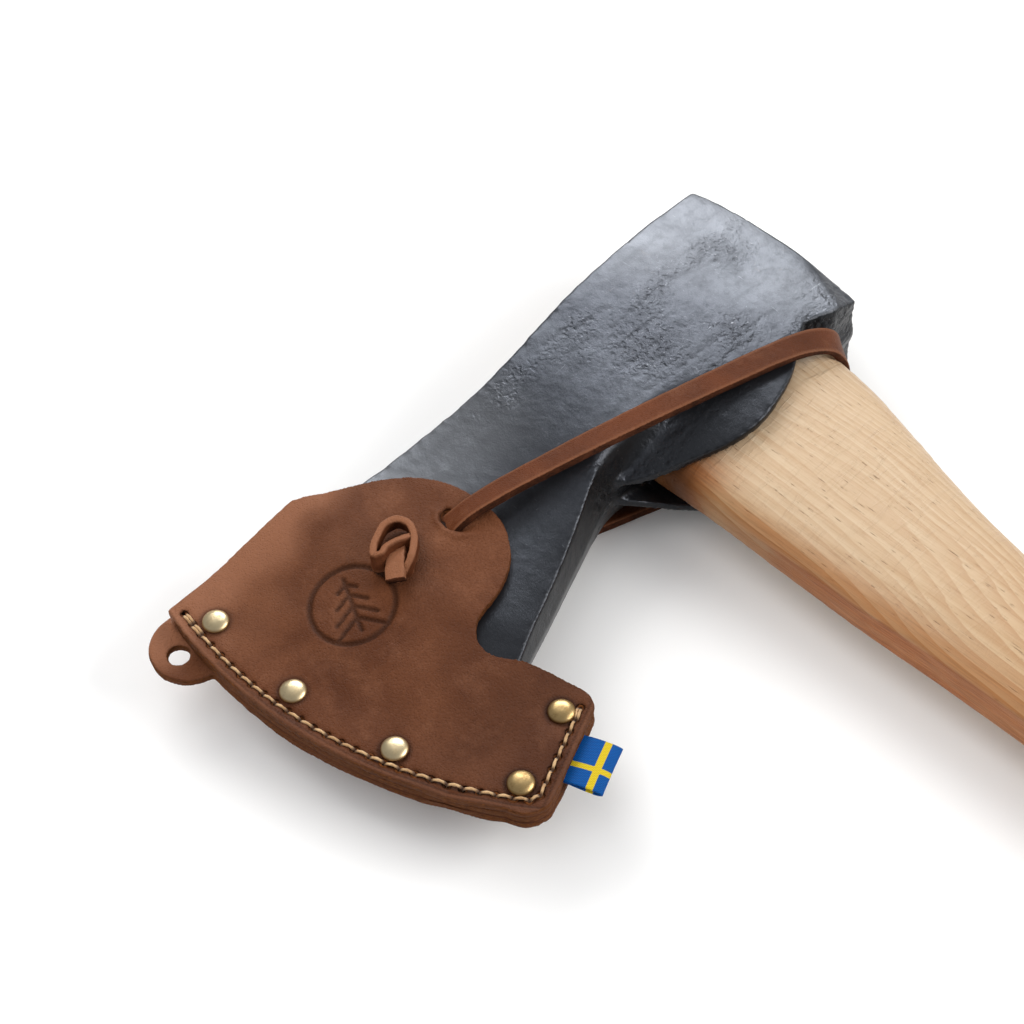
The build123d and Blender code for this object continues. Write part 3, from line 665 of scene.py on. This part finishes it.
def make_sheath(material):
    """One folded piece of leather, with rounded edges and smooth panels."""
    sheath = remeshed("sheath_leather", "sheath_folded_leather", 0.5)
    points, edges = points_of(sheath), edges_of(sheath)
    first = points.copy()
    near_fold = smooth(points[:, 0], FOLD_X + 7.0, FOLD_X + 1.5)[:, None]
    points = relaxed(points, edges, 3)
    points = relaxed(points, edges, 5, 0.5 * near_fold)
    points[:, 0] -= near_fold[:, 0] * smooth(np.abs(points[:, 2]), 1.0, 5.0)
    points = eased_ramp(points)
    set_points(sheath, points)
    facing = normals_of(sheath)[:, 2] * np.sign(points[:, 2])
    panel = smooth(facing, 0.80, 0.96) * smooth(np.abs(points[:, 2]), 1.3, 1.6)
    panel *= smooth(from_edge(points), 1.0, 4.0)
    points = relaxed(points, edges, 160, 0.5 * panel[:, None])
    set_points(sheath, points)
    work_leather(sheath, np.abs(first[:, 2]))
    return finish_piece(sheath, "sheath", "sheath_leather", material, "sheath_leather")


def cut_for_lace(points):
    """The curved slit, 1 where it is open, its raised lip, and how far past it each point lies."""
    toward = np.array([SLIT[0] - KNOT[0], SLIT[1] - KNOT[1]])
    toward /= np.linalg.norm(toward)
    past = (points[:, :2] - SLIT) @ toward
    beside = (points[:, :2] - SLIT) @ np.array([toward[1], -toward[0]])
    # the slit's line, beside and past its middle
    opening = [(-3.6, 0.9), (-3.0, -0.9), (-1.4, -1.9), (1.2, -1.9), (3.4, -0.7), (4.8, 1.4), (5.4, 3.6)]
    near = to_line(np.stack([beside, past], 1), opening)
    slit = smooth(near, 1.25, 0.45) * smooth(beside, 5.4, 0.5) ** 0.7
    lip = bell(near - 1.9, 0.9) * smooth(past - 0.3 * beside, 1.0, -0.8)
    return slit, lip, past


def work_leather(sheath, layer):
    """Sewn hollow, holes, dished rivets, the lace's run, the stamp, wrinkles, the marks of wear, painted
    light by the fold, and painted shade in the holes, in the slit and towards the heel.

    layer is each point's height above the sheath's middle before anything was worked.
    """
    points, normals = points_of(sheath), normals_of(sheath)
    x, y, z = points.T
    on_tab = np.hypot(x - TAB_CENTRE[0], y - TAB_CENTRE[1]) < TAB_R + 1
    # both panels' inner faces look at the blade, and stay where they are
    past_welt = LEATHER / 2 + 0.05
    upper = (z > past_welt) & (normals[:, 2] > 0.2)
    lower = (z < -past_welt) & (normals[:, 2] < -0.2)
    outer = np.where(upper | lower, 1.0, 0.0)
    outline = smooth(np.abs(normals[:, 2]), 0.72, 0.30) * np.where(x < FOLD_X + 3.0, 0.0, 1.0)
    inside = from_edge(points)
    holes = np.min([np.hypot(x - hx, y - hy) for hx, hy in HOLES], axis=0)
    stitches = to_line(points, HOLES)
    centres = [middle_of("rivet_cap_" + place) for place in RIVETS]
    caps = np.min([np.hypot(x - centre[0], y - centre[1]) for centre in centres], axis=0)
    lace = bell(to_segment(points, SLIT, KNOT), 4.6)
    slit, lip, past = cut_for_lace(points)
    height = -0.45 * bell(stitches, 1.2) - 0.85 * bell(holes, 0.85) - 0.34 * bell(caps, 5.0)
    height -= 0.26 * bell(inside - 1.5, 0.40) * (inside > -1)
    height += 1.30 * lace * smooth(past, 1.6, -1.0) + 0.60 * lip - 2.0 * slit
    height += 0.40 * lumps(points * (1, 1, 0), 24, 31) + 0.14 * lumps(points * (1, 1, 0), 8.0, 32)
    stamp = stamp_depth(points) * upper
    wrinkles = smooth(lumps(points * (1.0, 0.35, 0), 4.2, 36), 0.15, 0.75) * bell(x - FOLD_X - 6, 8)
    height -= 0.60 * stamp + 0.22 * wrinkles
    ragged = 0.15 * lumps(points, 3.0, 35)
    grooves = -0.45 * bell(layer - LEATHER / 2, 0.45)
    points = points + normals * (outer * height + outline * (ragged + grooves))[:, None]
    set_points(sheath, points)
    rim = smooth(layer, 1.4, 2.0) * outer * bell(inside, 1.0)
    worn = 0.40 * rim + 0.25 * lace * outer * smooth(lumps(points, 5, 37), -0.5, 0.6)
    # painted light: the leather near the fold is lightened where the lamps light it most
    worn += 0.75 * bell(x - FOLD_X, 17) * (1 - outline) * smooth(lumps(points, 14, 38), -1.0, 0.4)
    # darker round the caps and along the stitches, and painted shade in the open slit
    dark = 0.50 * bell(caps - 3.9, 0.7) + 0.40 * bell(stitches, 0.9) + 0.95 * slit
    dark += 0.45 * np.where(on_tab, 0, 1) * bell(inside - 1.5, 0.35) + 0.35 * bell(inside - 0.2, 0.5)
    # painted shade: darker towards the heel
    dark += 0.22 * smooth(x, 15, 55) * (1 - worn)
    # painted shade in the stitch holes; the stamp's lines are darker too
    dark = dark * outer + 0.97 * smooth(holes, 1.15, 0.70) + 0.60 * stamp
    dark += 0.8 * outline * bell(layer - LEATHER / 2, 0.35)
    mark(sheath, cut=outline, worn=np.clip(worn, 0, 0.9), dark=np.clip(dark, 0, 1))


def make_welt(material):
    """The strip between the two sides; only its fibrous outer edge shows."""
    welt = remeshed("welt", "welt_strip", 0.5)
    points, edges = points_of(welt), edges_of(welt)
    points = relaxed(points, edges, 3)
    set_points(welt, points)
    normals = normals_of(welt)
    ragged = 0.22 * lumps(points, 4.0, 41) - 0.22 - 0.35 * bell(np.abs(points[:, 2]) - LEATHER / 2, 0.4)
    ragged *= smooth(np.abs(normals[:, 2]), 0.8, 0.3)
    set_points(welt, points + normals * ragged[:, None])
    dark = 0.8 * smooth(np.abs(points[:, 2]), 0.95, 1.35)
    mark(welt, cut=np.ones(len(points)), worn=np.zeros(len(points)), dark=dark)
    return finish_piece(welt, "sheath", "welt_leather", material, "welt")


def stitch(start, end, side):
    """One stitch's points, rings of a two-ply thread that dips into the holes at both ends."""
    steps, around = 16, 12
    flat = np.linspace(0, 1, steps)
    lift = np.sin(pi * flat).clip(0) ** 0.6
    top = SEAM_HALF - 1.6 + 1.48 * lift
    run = end - start
    across = np.array([-run[1], run[0]]) / np.linalg.norm(run)
    turns = np.linspace(0, tau, around, endpoint=False)
    rings = []
    for i, share in enumerate(flat):
        centre = start + run * share + across * 0.32 * (share - 0.5)
        radius = THREAD_R * (0.80 + 0.20 * np.abs(np.cos(turns - 2.4 * pi * share)))
        out = radius * np.cos(turns)
        rings.append(np.stack([centre[0] + across[0] * out, centre[1] + across[1] * out,
                               side * (top[i] + radius * np.sin(turns))], 1))
    faces = ring_faces(steps, around)
    faces += [tuple(range(around)), tuple(range((steps - 1) * around, steps * around))]
    # painted shade where the thread goes down into the holes
    dark = np.repeat(1 - smooth(lift, 0.45, 0.85), around)
    return np.concatenate(rings), faces, dark


def make_thread(material):
    """The saddle stitch on both faces; the first two stitches and the last are doubled."""
    points, faces, dark, size = [], [], [], 0
    for side in (1, -1):
        for i, (a, b) in enumerate(zip(HOLES, HOLES[1:])):
            run = np.array(b) - np.array(a)
            across = np.array([-run[1], run[0]]) / np.linalg.norm(run)
            doubled = i < 2 or i == len(HOLES) - 2
            for shift in ((-THREAD_R, THREAD_R) if doubled else (0.0,)):
                ring, quads, shade = stitch(a + across * shift, b + across * shift, side)
                points.append(ring)
                faces += [tuple(size + k for k in quad) for quad in quads]
                dark.append(shade)
                size += len(ring)
    thread = new_piece("seam_saddle_stitch", np.concatenate(points), faces)
    mark(thread, dark=np.concatenate(dark))
    return finish_piece(thread, "sheath", "waxed_thread", material, "seam_thread")


def make_rivets(bright, shaded_tarnished):
    """Domed caps on both faces, each turned from one profile with a rolled rim."""
    profile = [(0.0, 1.62), (0.8, 1.60), (1.6, 1.50), (2.3, 1.32), (2.8, 1.08), (3.15, 0.82), (3.38, 0.55),
               (3.48, 0.25), (3.46, -0.05), (3.30, -0.30), (2.6, -0.42), (0.0, -0.45)]
    profile = curve_through([(1.05 * r, 0.92 * h, 0) for r, h in profile], 30)
    around = 48
    radius = profile[:, 0].clip(0)
    turns = np.linspace(0, tau, around, endpoint=False)
    for place in RIVETS:
        for part, side in (("cap", 1), ("post", -1)):
            node = f"rivet_{part}_{place}"
            centre = middle_of(node)
            lean = 0.03 * (hash_number(node) - 0.5)
            rings = [np.stack([centre[0] + r * np.cos(turns), centre[1] + r * np.sin(turns),
                               side * (SEAM_HALF + h - 0.12 + lean * r * np.cos(turns))], 1)
                     for r, h in zip(radius, profile[:, 1])]
            faces = [face[::side] for face in ring_faces(len(rings), around)]
            cap = new_piece(f"domed_{part}_{place}", np.concatenate(rings), faces)
            mark(cap, dark=np.repeat(smooth(radius, 3.05, 3.6), around))
            weld(cap)
            # the heel's rivets get a darker, more tarnished copy of the brass: painted shade towards the
            # heel, with more tarnish
            material = shaded_tarnished if place.startswith("heel") else bright
            finish_piece(cap, "sheath", "rivet_brass", material, node)


def weld(piece):
    """Joins the points of a piece that lie in one place, such as a dome's pole."""
    mesh = bmesh.new()
    mesh.from_mesh(piece.data)
    bmesh.ops.remove_doubles(mesh, verts=mesh.verts, dist=1e-6)
    mesh.to_mesh(piece.data)
    mesh.free()


def hash_number(text):
    """A fixed number from 0 to 1 for a name."""
    return sum((i + 3) * ord(c) for i, c in enumerate(text)) % 97 / 96


# ---- Laces ----

def lace_profile(width=LACE_WIDTH, thick=LACE_THICK, broken=0.32):
    """A flat lace's section, with slightly broken corners and points between them."""
    w, t, b = width / 2, thick / 2, broken
    corners = [(-w, -t + b), (-w + b, -t), (w - b, -t), (w, -t + b)]
    corners += [(-across, -up) for across, up in corners]
    ring = []
    for (ax, ay), (bx, by) in zip(corners, corners[1:] + corners[:1]):
        steps = max(1, round(hypot(bx - ax, by - ay) / 0.8))
        ring += [(ax + (bx - ax) * i / steps, ay + (by - ay) * i / steps) for i in range(steps)]
    return ring


def mark_lace(piece, profile, count, rubbed=0.0, flesh=0.0):
    """Marks a lace's sides, cut or rubbed, the pale lines along its corners and a tail's pale flesh."""
    half_width = max(p[0] for p in profile)
    half_thick = max(p[1] for p in profile)
    side = np.array([1.0 if abs(p[0]) > half_width - 0.12 else 0.0 for p in profile])
    corner = np.array([bell(hypot(abs(p[0]) - half_width, abs(p[1]) - half_thick), 0.5) for p in profile])
    worn = np.maximum(np.tile(0.6 * corner, count), np.tile(rubbed * side, count))
    cut = np.tile(0.75 * side * (rubbed == 0.0), count)
    if flesh:
        worn = np.maximum(worn, flesh)
        cut[-2 * len(profile):] = 1.0
    mark(piece, cut=cut, worn=worn, dark=np.zeros(count * len(profile)))


def make_strap(material):
    """The lace from slit to slit: straight over the cheek, twisted down round the haft's back."""
    along = np.array([STRAP_HOOK[0] - SLIT[0], STRAP_HOOK[1] - SLIT[1]])
    reach = np.linalg.norm(along)
    run = along / reach
    side = np.array([run[1], -run[0]])
    # stations: distance from the slit, height, how far the side towards the haft leans down
    upper = [(-4.5, 8.2, 0.0), (-1.5, 9.4, -0.10), (1.0, 11.0, -0.25), (5.0, 13.0, -0.30),
             (12.0, 14.8, -0.28), (30.0, 17.2, -0.20), (60.0, 19.4, -0.08), (88.0, 20.3, 0.02),
             (102.0, 20.4, 0.10), (110.0, 19.6, 0.24), (116.0, 17.6, 0.42), (120.6, 14.2, 0.50),
             (123.0, 9.6, 0.35), (124.1, 4.6, 0.12)]
    whole = upper + [(124.3, 0.0, 0.0)] + [(s, -h, -lean) for s, h, lean in reversed(upper)]
    stations = np.array([(*(np.array(SLIT) + run * s), h, lean) for s, h, lean in whole])
    count = 240
    line = curve_through(stations, count)
    path = line[:, :3]
    flat_side = np.array([*side, 0.0])
    up = np.cross(flat_side, directions(path))
    lean = line[:, 3][:, None]
    sides = flat_side * np.cos(lean) - up * np.sin(lean)
    profile = lace_profile()
    strap = sweep("lace_strap", path, sides, profile)
    points, normals = points_of(strap), normals_of(strap)
    points = points + normals * (0.09 * lumps(points, 5, 51) + 0.05 * lumps(points, 1.8, 52))[:, None]
    # nothing goes under the floor
    points[:, 2] = np.maximum(points[:, 2], -EYE[2] / MM)
    set_points(strap, points)
    mark_lace(strap, profile, count)
    return finish_piece(strap, "strap", "lace_leather", material, "strap")


def make_knot(name, node, material, face):
    """The lace's end on one face: a loop of lace on edge that crosses back over its own flat tail."""
    foot = 12.0
    centre = np.array([KNOT[0], KNOT[1], foot])
    right, back = np.array([0.676, 0.737, 0.0]), np.array([-0.737, 0.676, 0.0])
    flip = np.array([1, 1, face])

    def place(r, b, h):
        return (centre + right * r + back * b + np.array([0, 0, h])) * flip

    # right, away and height of the lace's middle line: out of the leather, round, and back across
    loop = [(1.6, -6.9, -1.6), (3.1, -6.3, 0.8), (4.5, -4.2, 2.7), (5.35, -0.6, 3.1),
            (5.25, 3.2, 3.2), (3.9, 6.3, 3.3), (1.1, 7.8, 3.3), (-1.9, 6.7, 3.2),
            (-4.1, 3.2, 3.0), (-5.3, -1.0, 2.6), (-4.9, -4.1, 2.3), (-3.3, -3.9, 2.6),
            (-1.5, -1.9, 3.0), (0.9, -0.5, 3.1), (3.1, 0.3, 3.0), (4.5, 0.8, 2.9)]
    count = 150
    path = curve_through([place(*p) for p in loop], count)
    share = np.linspace(0, 1, count)
    tilt = np.outer(0.30 * smooth(share, 0.72, 0.60) - 0.35 * smooth(share, 0.68, 0.80), -back * flip)
    tilt += np.array([0.0, 0.0, 1.0]) * flip
    profile = lace_profile(6.0, 1.9, 0.26)
    ring = sweep(name + "_loop", path, tilt, profile)
    mark_lace(ring, profile, count, rubbed=0.75)
    tail_line = [(1.9, 2.0, 1.5), (1.4, 0.0, 2.2), (0.8, -3.0, 3.0), (0.3, -6.6, 3.0), (0.3, -10.6, 2.3)]
    steps = 50
    tail_path = curve_through([place(*p) for p in tail_line], steps)
    tail_profile = lace_profile(5.2, 2.1, 0.25)
    tail = sweep(name + "_tail", tail_path, np.tile((right + np.array([0, 0, 0.30])) * flip, (steps, 1)),
                 lambda share: [(w * min(1.0, 0.7 + 0.5 * share), t) for w, t in tail_profile])
    mark_lace(tail, tail_profile, steps, rubbed=0.45, flesh=0.75)
    for part in (ring, tail):
        points, normals = points_of(part), normals_of(part)
        notch = 0.15 * lumps(points, 1.2, 55) + 0.12 * lumps(points, 3.2, 56)
        set_points(part, points + normals * notch[:, None])
        finish_piece(part, "sheath", "lace_leather", material)
    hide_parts(node)


def make_ribbon(material):
    """The folded ribbon in the heel seam: two layers that bow apart and meet in a flat loop."""
    dx, dy = HEEL_RUN
    turn = atan2(dx, -dy)
    middle = heel_line(0.49, 0)
    out, width = np.array([cos(turn), sin(turn), 0.0]), np.array([-sin(turn), cos(turn), 0.0])
    origin = np.array([*middle, LEATHER / 2 - 0.5]) + out
    # the ribbon's line seen along its width: outwards and height
    line = [(-4.5, 0.22), (-1.0, 0.22), (2.0, 0.62), (5.6, 0.80), (8.4, 0.46), (9.25, 0.0), (8.5, -0.48),
            (5.6, -0.72), (2.2, -0.56), (-1.0, -0.22), (-4.5, -0.22)]
    across, steps = 29, 90
    places = curve_through([(a, b, 0.0) for a, b in line], steps)
    length = np.linalg.norm(np.diff(places, axis=0), axis=1).sum()
    grid, stripe, longways, crossways = [], [], [], []
    for j in range(across):
        w = (j / (across - 1) - 0.5) * RIBBON_WIDTH
        for i, (a, b, _) in enumerate(places):
            droop = -0.45 * (2 * w / RIBBON_WIDTH) ** 2 * smooth(a, 0.0, 8.0)
            grid.append(origin + out * a + width * w + np.array([0, 0, b + droop]))
            along = abs(i / (steps - 1) - 0.5) * length
            stripe.append(max(bell(w + 1.5, 1.0) > 0.5, abs(along - 3.8) < 1.05))
            longways.append(i / (steps - 1))
            crossways.append(j / (across - 1))
    faces = [(j * steps + i, j * steps + i + 1, (j + 1) * steps + i + 1, (j + 1) * steps + i)
             for j in range(across - 1) for i in range(steps - 1)]
    ribbon = new_piece("ribbon_loop", grid, faces)
    mark(ribbon, stripe=np.array(stripe, float), along=np.array(longways), across=np.array(crossways))
    thick = ribbon.modifiers.new("cloth", "SOLIDIFY")
    thick.thickness = 0.28 * MM
    thick.offset = 0.0
    return finish_piece(ribbon, "sheath", "woven_ribbon", material, "ribbon_tag")


# ---- Stage, lights and camera ----

def add_light(name, place, aim, size, power, colour=(1.0, 1.0, 1.0), size_y=None):
    """A soft rectangular lamp at a place, turned to its aim."""
    data = bpy.data.lights.new(name, "AREA")
    data.shape = "RECTANGLE"
    data.size, data.size_y = size, size_y or size
    data.energy = power
    data.color = colour
    lamp = bpy.data.objects.new(name, data)
    lamp.location = place
    lamp.rotation_mode = "QUATERNION"
    lamp.rotation_quaternion = (Vector(aim) - Vector(place)).to_track_quat("-Z", "Y")
    bpy.context.scene.collection.objects.link(lamp)
    return lamp


def make_stage():
    """A pale floor, a pale sky and four soft lamps round the head."""
    mesh = bpy.data.meshes.new("floor")
    half = 3.0
    corners = [(-half, -half, 0), (half, -half, 0), (half, half, 0), (-half, half, 0)]
    mesh.from_pydata(corners, [], [(0, 1, 2, 3)])
    floor = link("floor", mesh)
    p = Paint("paper_floor", Roughness=0.9, Specular_IOR_Level=0.1)
    paper = p.wear(Base_Color=p.mix(p.noise(40, 2), (0.90, 0.90, 0.90), (0.92, 0.92, 0.92)))
    p.shader.inputs["Emission Color"].default_value = (1.0, 1.0, 1.0, 1.0)
    p.shader.inputs["Emission Strength"].default_value = 0.04
    floor.data.materials.append(paper)
    world = bpy.data.worlds.new("studio")
    world.use_nodes = True
    sky = world.node_tree.nodes["Background"].inputs
    sky["Color"].default_value = (0.95, 0.97, 1.0, 1.0)
    sky["Strength"].default_value = 0.32
    bpy.context.scene.world = world
    head = Vector((EYE[0], EYE[1] - 0.05, 0.0))
    left = add_light("left_window", head + Vector((-0.95, 0.05, 0.90)), head, 1.0, 12.0, (1.0, 0.985, 0.96))
    fill = add_light("top_fill", head + Vector((-0.10, -0.60, 1.25)), head, 1.2, 7.0)
    for lamp in (left, fill):
        lamp.visible_glossy = False
    add_light("back_window", head + Vector((0.95, 0.68, 0.90)), head + Vector((0.1, 0, 0)), 0.9, 14.5,
              (1.0, 0.99, 0.97), 0.6)
    # this one is seen only as the sheen on the cheek
    sheen = add_light("steel_sheen", head + Vector((-0.66, 0.74, 0.78)), head + Vector((0, 0.05, 0)),
                      0.7, 8.5, (0.96, 0.98, 1.0), 0.55)
    sheen.visible_diffuse = False


def make_camera():
    """Close over the head from the front, turned a little, with the haft running out of the picture."""
    azimuth, elevation, roll = radians(47.5), radians(52.7), radians(3.0)
    ahead = Vector((-sin(azimuth) * cos(elevation), cos(azimuth) * cos(elevation), -sin(elevation)))
    level = Vector((cos(azimuth), sin(azimuth), 0.0))
    down = ahead.cross(level)
    right = level * cos(roll) + down * sin(roll)
    up = level * sin(roll) - down * cos(roll)
    data = bpy.data.cameras.new("camera")
    data.sensor_width, data.lens = 36.0, 80.86
    data.clip_start = 0.01
    camera = bpy.data.objects.new("camera", data)
    place = Vector(np.array([279.0, -325.7, 499.9]) * MM + EYE)
    camera.matrix_world = Matrix.Translation(place) @ Matrix((right, up, -ahead)).transposed().to_4x4()
    bpy.context.scene.collection.objects.link(camera)
    bpy.context.scene.camera = camera


# ---- Everything together ----

bpy.context.scene.view_settings.view_transform = "Standard"
make_camera()
make_stage()
sheath_leather = leather_paint("pull_up_leather", (0.076, 0.022, 0.007), (0.148, 0.052, 0.022),
                               (0.290, 0.122, 0.064), (0.225, 0.072, 0.018))
welt_leather = leather_paint("welt_leather", (0.066, 0.019, 0.006), (0.125, 0.041, 0.014),
                             (0.200, 0.074, 0.028), (0.225, 0.072, 0.018))
lace_leather = leather_paint("lace_leather", (0.078, 0.021, 0.006), (0.138, 0.040, 0.014),
                             (0.300, 0.125, 0.062), (0.080, 0.022, 0.007), 0.75)
hickory = wood_paint("hickory")
make_head(steel_paint())
make_haft(hickory)
dress_wedges(wood_paint("wedge_beech"), plain_steel_paint())
make_sheath(sheath_leather)
make_welt(welt_leather)
make_thread(thread_paint())
make_rivets(brass_paint("bright_brass", (0.82, 0.66, 0.40), (0.34, 0.19, 0.07), 0.40),
            brass_paint("shaded_tarnished_brass", (0.58, 0.40, 0.18), (0.22, 0.12, 0.04), 0.7))
make_strap(lace_leather)
make_knot("front_knot", "front_knot", lace_leather, 1)
make_knot("rear_knot", "rear_knot", lace_leather, -1)
make_ribbon(ribbon_paint())
